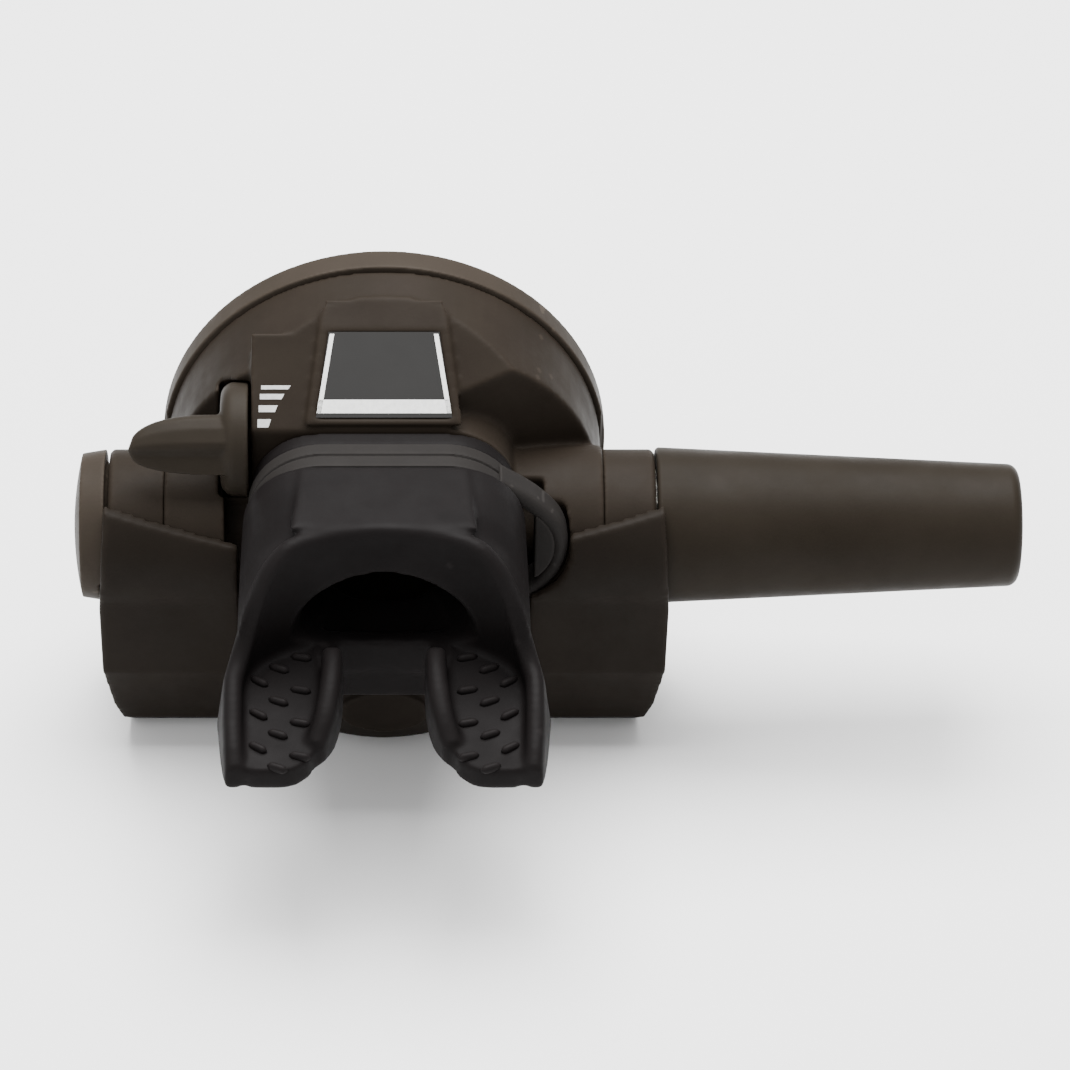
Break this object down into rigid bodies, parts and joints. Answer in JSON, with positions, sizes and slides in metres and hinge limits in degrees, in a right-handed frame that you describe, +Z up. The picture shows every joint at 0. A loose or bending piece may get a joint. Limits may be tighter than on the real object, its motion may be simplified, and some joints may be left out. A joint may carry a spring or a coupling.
{
  "type": "scuba second stage regulator",
  "caption": "Diver's second-stage demand valve with mouthpiece, purge cover, venturi lever, exhaust tee and a tapered hose protector.",
  "frame": {"origin": "on the flat underside of the exhaust tee, in the body's mid plane, below the air barrel's axis", "axes": "+X along the air barrel towards the hose, +Y towards the purge cover, -Y towards the diver's mouth, +Z up"},
  "size_m": [0.1691, 0.1015, 0.0814],
  "materials": {
    "case_plastic": "fine matte moulded nylon, warm black",
    "cover_plastic": "fine matte moulded nylon, warm black",
    "tee_plastic": "fine matte moulded plastic, warm black",
    "lever_plastic": "satin moulded plastic, warm black",
    "clamp_plastic": "satin moulded strap, neutral black",
    "inner_plastic": "natural moulded acetal",
    "label": "printed plate, dark grey with a white border",
    "protector_rubber": "satin moulded rubber, warm black",
    "soft_rubber": "matte moulded rubber, black",
    "mouth_silicone": "matte silicone, neutral black",
    "silicone": "translucent white silicone",
    "seal_rubber": "black sealing rubber",
    "plated_brass": "satin chrome over brass",
    "spring_steel": "bright stainless wire and strip"
  },
  "bodies": {
    "housing": {"case": "case_plastic", "label_plate": "label", "cover_ring": "cover_plastic", "front_cover": "cover_plastic", "purge_spring": "spring_steel", "diaphragm_skirt": "silicone", "lever_pin": "spring_steel", "air_barrel": "plated_brass", "barrel_orings": "seal_rubber", "inlet_fitting": "plated_brass", "orifice_crown": "plated_brass", "inlet_nut": "case_plastic", "poppet_spring": "spring_steel", "balance_plug": "plated_brass", "spring_adjuster": "plated_brass", "end_nut": "case_plastic", "end_cap": "cover_plastic", "exhaust_tee": "tee_plastic", "mouthpiece": "mouth_silicone", "clamp_band": "clamp_plastic", "clamp_keeper": "clamp_plastic", "hose_nut": "plated_brass"},
    "purge": {"purge_button": "soft_rubber"},
    "diaphragm": {"diaphragm_disc": "inner_plastic"},
    "lever": {"demand_lever": "spring_steel"},
    "valve": {"poppet": "inner_plastic", "seat_disc": "seal_rubber"},
    "venturi": {"venturi_lever": "lever_plastic", "venturi_oring": "seal_rubber", "venturi_vane": "inner_plastic"},
    "exhaust": {"exhaust_valve": "silicone"},
    "hose_end": {"hose_stem": "plated_brass", "stem_oring": "seal_rubber", "hose_ferrule": "plated_brass", "hose_protector": "protector_rubber"}
  },
  "joints": [
    {"name": "purge_press", "type": "slide", "parent": "housing", "child": "purge", "axis": [0, -1, 0], "range_m": [0, 0.0045], "stiffness_N_per_m": 400, "springref_m": -0.002, "deforming": ["purge_spring"]},
    {"name": "diaphragm_stroke", "type": "slide", "parent": "housing", "child": "diaphragm", "axis": [0, -1, 0], "range_m": [0, 0.0045], "deforming": ["diaphragm_skirt"]},
    {"name": "lever_swing", "type": "hinge", "parent": "housing", "child": "lever", "pos_m": [-0.0155, 0.0054, 0.041], "axis": [0, 0, -1], "range_deg": [0, 11.82]},
    {"name": "poppet_shift", "type": "slide", "parent": "housing", "child": "valve", "axis": [-1, 0, 0], "range_m": [0, 0.00064], "deforming": ["poppet_spring"]},
    {"name": "venturi_turn", "type": "hinge", "parent": "housing", "child": "venturi", "pos_m": [-0.029, 0.001, 0.0595], "axis": [-1, 0, 0], "range_deg": [0, 48]},
    {"name": "exhaust_lift", "type": "slide", "parent": "housing", "child": "exhaust", "axis": [0, -0.8277, -0.5612], "range_m": [0, 0.0015], "stiffness_N_per_m": 30, "springref_m": -0.002},
    {"name": "hose_swivel", "type": "hinge", "parent": "housing", "child": "hose_end", "pos_m": [0.063, 0, 0.041], "axis": [1, 0, 0], "continuous": true}
  ],
  "couplings": [
    {"joint": "diaphragm_stroke", "follows": "purge_press", "ratio": 1},
    {"joint": "lever_swing", "follows": "purge_press", "rad_per_m": 45.823},
    {"joint": "poppet_shift", "follows": "purge_press", "ratio": 0.14205}
  ]
}
